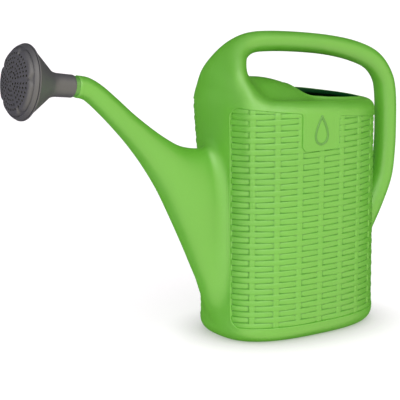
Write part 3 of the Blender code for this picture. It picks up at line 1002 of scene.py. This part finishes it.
def cut_spray_holes(face, hole_shade_material):
    """Cuts every spray hole through the face, its walls black as painted shade."""
    bm = bmesh.new()
    for x, y in spray_holes():
        pin = bmesh.ops.create_cone(
            bm, cap_ends=True, segments=PIN_SEGMENTS, depth=PIN_LENGTH * MM,
            radius1=HOLE_RADIUS * MM, radius2=HOLE_RADIUS * MM,
        )
        bmesh.ops.translate(bm, verts=pin["verts"], vec=(x * MM, y * MM, PIN_MIDDLE * MM))
    mesh = bpy.data.meshes.new("spray_pins")
    bm.to_mesh(mesh)
    bm.free()
    mesh.materials.append(hole_shade_material)
    turn = Matrix((AXIS_UP, (0, 1, 0), NOZZLE_AXIS)).transposed().to_4x4()
    mesh.transform(Matrix.Translation(NOZZLE_END * MM) @ turn)
    pins = bpy.data.objects.new("spray_pins", mesh)
    bpy.context.scene.collection.objects.link(pins)
    cut = face.modifiers.new("holes", "BOOLEAN")
    cut.operation = "DIFFERENCE"
    cut.material_mode = "TRANSFER"
    cut.object = pins
    bpy.context.view_layer.update()
    evaluated = face.evaluated_get(bpy.context.evaluated_depsgraph_get())
    result = bpy.data.meshes.new_from_object(evaluated)
    face.modifiers.clear()
    face.data = result
    bpy.data.objects.remove(pins)
    result.shade_smooth()
    result.set_sharp_from_angle(angle=math.radians(FACE_SHARP_ANGLE))


# Materials

def new_material(name, roughness, specular):
    """A material, its node tree and its shader."""
    material = bpy.data.materials.new(name)
    material.use_nodes = True
    shader = material.node_tree.nodes["Principled BSDF"]
    shader.inputs["Roughness"].default_value = roughness
    shader.inputs["Specular IOR Level"].default_value = specular
    return material, material.node_tree, shader


def node(tree, kind, **values):
    """A new node with its properties, or its inputs of those names, set."""
    made = tree.nodes.new(kind)
    for name, value in values.items():
        if hasattr(made, name):
            setattr(made, name, value)
        else:
            made.inputs[name.replace("_", " ")].default_value = value
    return made


def noise(tree, scale, detail, stretch=(1, 1, 1)):
    """Noise over an object, about scale bumps to a metre."""
    place = node(tree, "ShaderNodeTexCoord")
    mapping = node(tree, "ShaderNodeMapping")
    mapping.inputs["Scale"].default_value = stretch
    texture = node(tree, "ShaderNodeTexNoise", Scale=scale, Detail=detail)
    tree.links.new(place.outputs["Object"], mapping.inputs["Vector"])
    tree.links.new(mapping.outputs["Vector"], texture.inputs["Vector"])
    return texture.outputs["Fac"]


def ranged(tree, value, low, high, out_low, out_high):
    """A value's range from low to high, carried over to another range and held within it."""
    remap = node(tree, "ShaderNodeMapRange")
    remap.inputs["From Min"].default_value = low
    remap.inputs["From Max"].default_value = high
    remap.inputs["To Min"].default_value = out_low
    remap.inputs["To Max"].default_value = out_high
    tree.links.new(value, remap.inputs["Value"])
    return remap.outputs["Result"]


def blend_colours(tree, factor, first, second):
    """A colour from the first, where the factor is 0, to the second, where it is 1."""
    mix = node(tree, "ShaderNodeMix", data_type="RGBA")
    for value, slot in ((factor, 0), (first, 6), (second, 7)):
        if hasattr(value, "links"):
            tree.links.new(value, mix.inputs[slot])
        else:
            mix.inputs[slot].default_value = value
    return mix.outputs[2]


def bumped(tree, shader, layers):
    """Bump layers, each a height, its strength and its depth in metres, one on another."""
    normal = None
    for height, strength, depth in layers:
        bump = node(tree, "ShaderNodeBump", Strength=strength, Distance=depth)
        tree.links.new(height, bump.inputs["Height"])
        if normal:
            tree.links.new(normal, bump.inputs["Normal"])
        normal = bump.outputs["Normal"]
    tree.links.new(normal, shader.inputs["Normal"])


# Shares of the plastic's other colours, and how far its roughness strays to either side; the corners' share
# is painted shade in hollows and creases
DEEPER_TINT, PALE_SPECKS, PALE_EDGES, PAINTED_CORNER_SHADE = 0.93, 0.25, 0.35, 0.45
SMOOTHER, ROUGHER = 0.05, 0.06


def moulded_plastic(
    name, colour, dark, light, roughness,
    specular=0.9, sheen=(1, 1, 1, 1), groove_shade=None, seam=False,
):
    """Satin moulded plastic: uneven tint and gloss, a fine skin, paler sharp edges and painted shade in
    hollow corners.

    Groove shade tells from what depth of the weave to what depth the plastic is darkened as painted shade,
    and from how much to how much. A seam is a fine ridge in the plane y = 0.
    """
    material, tree, shader = new_material(name, roughness, specular)
    shader.inputs["Specular Tint"].default_value = sheen
    tint = ranged(tree, noise(tree, 9.0, 2.0), 0.3, 0.7, 0.0, 1.0)
    base = blend_colours(tree, tint, colour, tuple(c * DEEPER_TINT for c in colour[:3]) + (1,))
    specks = ranged(tree, noise(tree, 900.0, 1.0), 0.68, 0.78, 0.0, PALE_SPECKS)
    base = blend_colours(tree, specks, base, light)
    curve = node(tree, "ShaderNodeNewGeometry").outputs["Pointiness"]
    base = blend_colours(tree, ranged(tree, curve, 0.51, 0.60, 0.0, PALE_EDGES), base, light)
    # Painted shade: hollow corners and creases, where pointiness is low, blend towards the dark colour
    base = blend_colours(tree, ranged(tree, curve, 0.49, 0.42, 0.0, PAINTED_CORNER_SHADE), base, dark)
    layers = [
        (noise(tree, 1500.0, 2.0), 0.12, 0.0002),
        (noise(tree, 55.0, 2.0), 0.10, 0.0012),
    ]
    if groove_shade:
        # Painted shade: the weave is coloured darker the deeper it lies
        depth = node(tree, "ShaderNodeAttribute", attribute_name="depth").outputs["Fac"]
        base = blend_colours(tree, ranged(tree, depth, *groove_shade), base, dark)
        layers.append((noise(tree, 260.0, 2.0, (0.05, 0.05, 4.0)), 0.3, 0.0006))
    if seam:
        place = node(tree, "ShaderNodeTexCoord")
        parts = node(tree, "ShaderNodeSeparateXYZ")
        tree.links.new(place.outputs["Object"], parts.inputs["Vector"])
        away = node(tree, "ShaderNodeMath", operation="ABSOLUTE")
        tree.links.new(parts.outputs["Y"], away.inputs[0])
        layers.append((ranged(tree, away.outputs[0], 0.0002, 0.0007, 1.0, 0.0), 0.35, 0.0003))
    tree.links.new(base, shader.inputs["Base Color"])
    gloss = ranged(tree, noise(tree, 35.0, 4.0), 0.3, 0.7, roughness - SMOOTHER, roughness + ROUGHER)
    tree.links.new(gloss, shader.inputs["Roughness"])
    bumped(tree, shader, layers)
    return material


GREEN = (0.11, 0.4, 0.024, 1)
GREEN_DARK = (0.04, 0.23, 0.012, 1)
GREEN_LIGHT = (0.2, 0.58, 0.09, 1)
# Darker green: painted shade on the nozzle's collar beside the sleeve; the drop marks are coloured with it
# too
DARKER_GREEN = (0.055, 0.24, 0.018, 1)
# Painted shade: the inside of the tank is the same green plastic, coloured very dark where shade falls
INSIDE_SHADE = (0.001, 0.07, 0.014, 1)
# Painted shade: the spray holes' walls are coloured black, though the rose is charcoal plastic throughout
HOLE_SHADE = (0.002, 0.002, 0.002, 1)
HOLE_SHADE_DARK = (0, 0, 0, 1)
HOLE_SHADE_LIGHT = (0.01, 0.01, 0.01, 1)
CHARCOAL = (0.061, 0.06, 0.073, 1)
CHARCOAL_DARK = (0.015, 0.015, 0.016, 1)
CHARCOAL_LIGHT = (0.1, 0.1, 0.102, 1)
CHARCOAL_SHEEN = (0.86, 0.87, 1, 1)
# Painted shade in the weave's gaps: the depths over which it darkens, and its least and greatest share
WEAVE_GROOVE_SHADE = (0.66, 0.98, 0, 0.85)


# Stage: floor, light and camera

FLOOR_SIZE = 60
# A slight magenta tint cancels the green light that the can bounces onto the floor
FLOOR_COLOUR = (0.55, 0.51, 0.55, 1)
# Painted shadow: the floor glows less within this reach of the can, in metres
SHADOW_REACH = 0.05
SHADOW_GLOW, OPEN_GLOW = 0.3, 0.6
WORLD_STRENGTH = 0.62


def make_floor():
    """A white, glowing floor with a painted contact shadow: it glows less close to the can."""
    bpy.ops.mesh.primitive_plane_add(size=FLOOR_SIZE)
    floor = bpy.context.object
    floor.name = "floor"
    material, tree, shader = new_material("floor_white", 0.9, 0.1)
    shader.inputs["Base Color"].default_value = FLOOR_COLOUR
    shader.inputs["Emission Color"].default_value = (1, 1, 1, 1)
    # Painted shadow: ambient occlusion lowers the glow near the can
    shadow_openness = node(tree, "ShaderNodeAmbientOcclusion", samples=16, Distance=SHADOW_REACH)
    glow = ranged(tree, shadow_openness.outputs["AO"], 0.5, 1.0, SHADOW_GLOW, OPEN_GLOW)
    tree.links.new(glow, shader.inputs["Emission Strength"])
    floor.data.materials.append(material)
    floor.visible_glossy = False
    floor.visible_shadow = False


def make_sun(name, direction, strength, degrees, diffuse=True, glossy=True, colour=(1, 1, 1)):
    """A soft light from a direction, as wide as the given degrees."""
    data = bpy.data.lights.new(name, "SUN")
    data.color = colour
    data.energy = strength
    data.angle = math.radians(degrees)
    light = bpy.data.objects.new(name, data)
    light.rotation_euler = Vector(direction).to_track_quat("Z", "Y").to_euler()
    light.visible_diffuse = diffuse
    light.visible_glossy = glossy
    bpy.context.scene.collection.objects.link(light)


def make_lights():
    """The studio: an even white world, soft lights, and two sheens that only gloss shows."""
    world = bpy.data.worlds.new("studio")
    world.use_nodes = True
    background = world.node_tree.nodes["Background"]
    background.inputs["Color"].default_value = (1, 1, 1, 1)
    background.inputs["Strength"].default_value = WORLD_STRENGTH
    world.cycles_visibility.glossy = False
    bpy.context.scene.world = world
    make_sun("front_left", (-0.75, -0.65, 0.12), 0.55, 70)
    make_sun("front_right", (0.4, -0.9, 0.1), 0.2, 80, glossy=False)
    make_sun("front_above", (-0.15, -0.7, 0.7), 0.95, 50)
    make_sun("left_side", (-0.8, 0.6, 0.15), 1.0, 60, glossy=False)
    make_sun("sheen", (-0.12, -0.98, -0.1), 4.8, 150, diffuse=False, colour=(1, 0.92, 0.55))
    make_sun("top_sheen", (0.1, -0.4, 0.9), 0.8, 90, diffuse=False, colour=(1, 0.95, 0.75))


# Fitted to the photograph: place in metres, the way from the picture back to the camera, roll in degrees
CAMERA_PLACE = (-1.1214, -1.5536, 0.5638)
CAMERA_BACK = (-0.527, -0.824, 0.206)
CAMERA_ROLL = 0.95
CAMERA_LENS, CAMERA_SENSOR = 140.4, 36


def make_camera():
    data = bpy.data.cameras.new("camera")
    data.lens = CAMERA_LENS
    data.sensor_width = CAMERA_SENSOR
    back = Vector(CAMERA_BACK).normalized()
    level = Vector((0, 0, 1)).cross(back).normalized()
    up = back.cross(level)
    roll = math.radians(CAMERA_ROLL)
    right = level * math.cos(roll) - up * math.sin(roll)
    up = back.cross(right)
    camera = bpy.data.objects.new("camera", data)
    turn = Matrix((right, up, back)).transposed().to_4x4()
    camera.matrix_world = Matrix.Translation(CAMERA_PLACE) @ turn
    bpy.context.scene.collection.objects.link(camera)
    bpy.context.scene.camera = camera


def attach(piece, body, slot, *replaced):
    """Puts a piece on a body and hides the CAD nodes that it stands for. The slot argument is not used."""
    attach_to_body(piece, body)
    if replaced:
        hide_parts(*replaced)


make_camera()
make_floor()
make_lights()
bpy.context.scene.view_settings.view_transform = "Standard"

can_green = moulded_plastic("can_green", GREEN, GREEN_DARK, GREEN_LIGHT, 0.4, seam=True)
weave_green = moulded_plastic("weave_green", GREEN, GREEN_DARK, GREEN_LIGHT, 0.42, groove_shade=WEAVE_GROOVE_SHADE)
# Painted shade for the liner and the mouth's inner wall
painted_shade_inside = moulded_plastic("painted_shade_inside", INSIDE_SHADE, INSIDE_SHADE, GREEN_DARK, 0.5, specular=0.25)
darker_green = moulded_plastic("darker_green", DARKER_GREEN, GREEN_DARK, GREEN_LIGHT, 0.45)
# Painted shade inside the spray holes
hole_painted_shade = moulded_plastic("hole_painted_shade", HOLE_SHADE, HOLE_SHADE_DARK, HOLE_SHADE_LIGHT, 0.8)
rose_charcoal = moulded_plastic(
    "rose_charcoal", CHARCOAL, CHARCOAL_DARK, CHARCOAL_LIGHT, 0.5, sheen=CHARCOAL_SHEEN,
)

attach(
    make_shell(can_green), "can", "can_plastic",
    "tank", "spout", "handle_neck", "handle_bar", "handle_leg",
)
# The liner wears painted shade: it is the can's own green plastic
attach(make_liner(painted_shade_inside), "can", "can_plastic")
for piece in make_lip(can_green, painted_shade_inside):
    attach(piece, "can", "can_plastic")
for border in make_borders(can_green):
    attach(border, "can", "can_plastic")
attach(make_weave("weave_front", -1, weave_green), "can", "can_plastic")
attach(make_weave("weave_back", 1, weave_green), "can", "can_plastic")
attach(make_drop("drop_mark_front", -1, darker_green), "can", "can_plastic")
attach(make_drop("drop_mark_back", 1, darker_green), "can", "can_plastic")
attach(make_spigot(can_green), "can", "can_plastic")
# The collar's darker green is painted shade from the sleeve
attach(make_collar(darker_green), "can", "can_plastic")
attach(make_cone(rose_charcoal), "rose", "rose_plastic", "rose_cone")
attach(make_face(rose_charcoal, hole_painted_shade), "rose_plate", "rose_plastic", "rose_face")
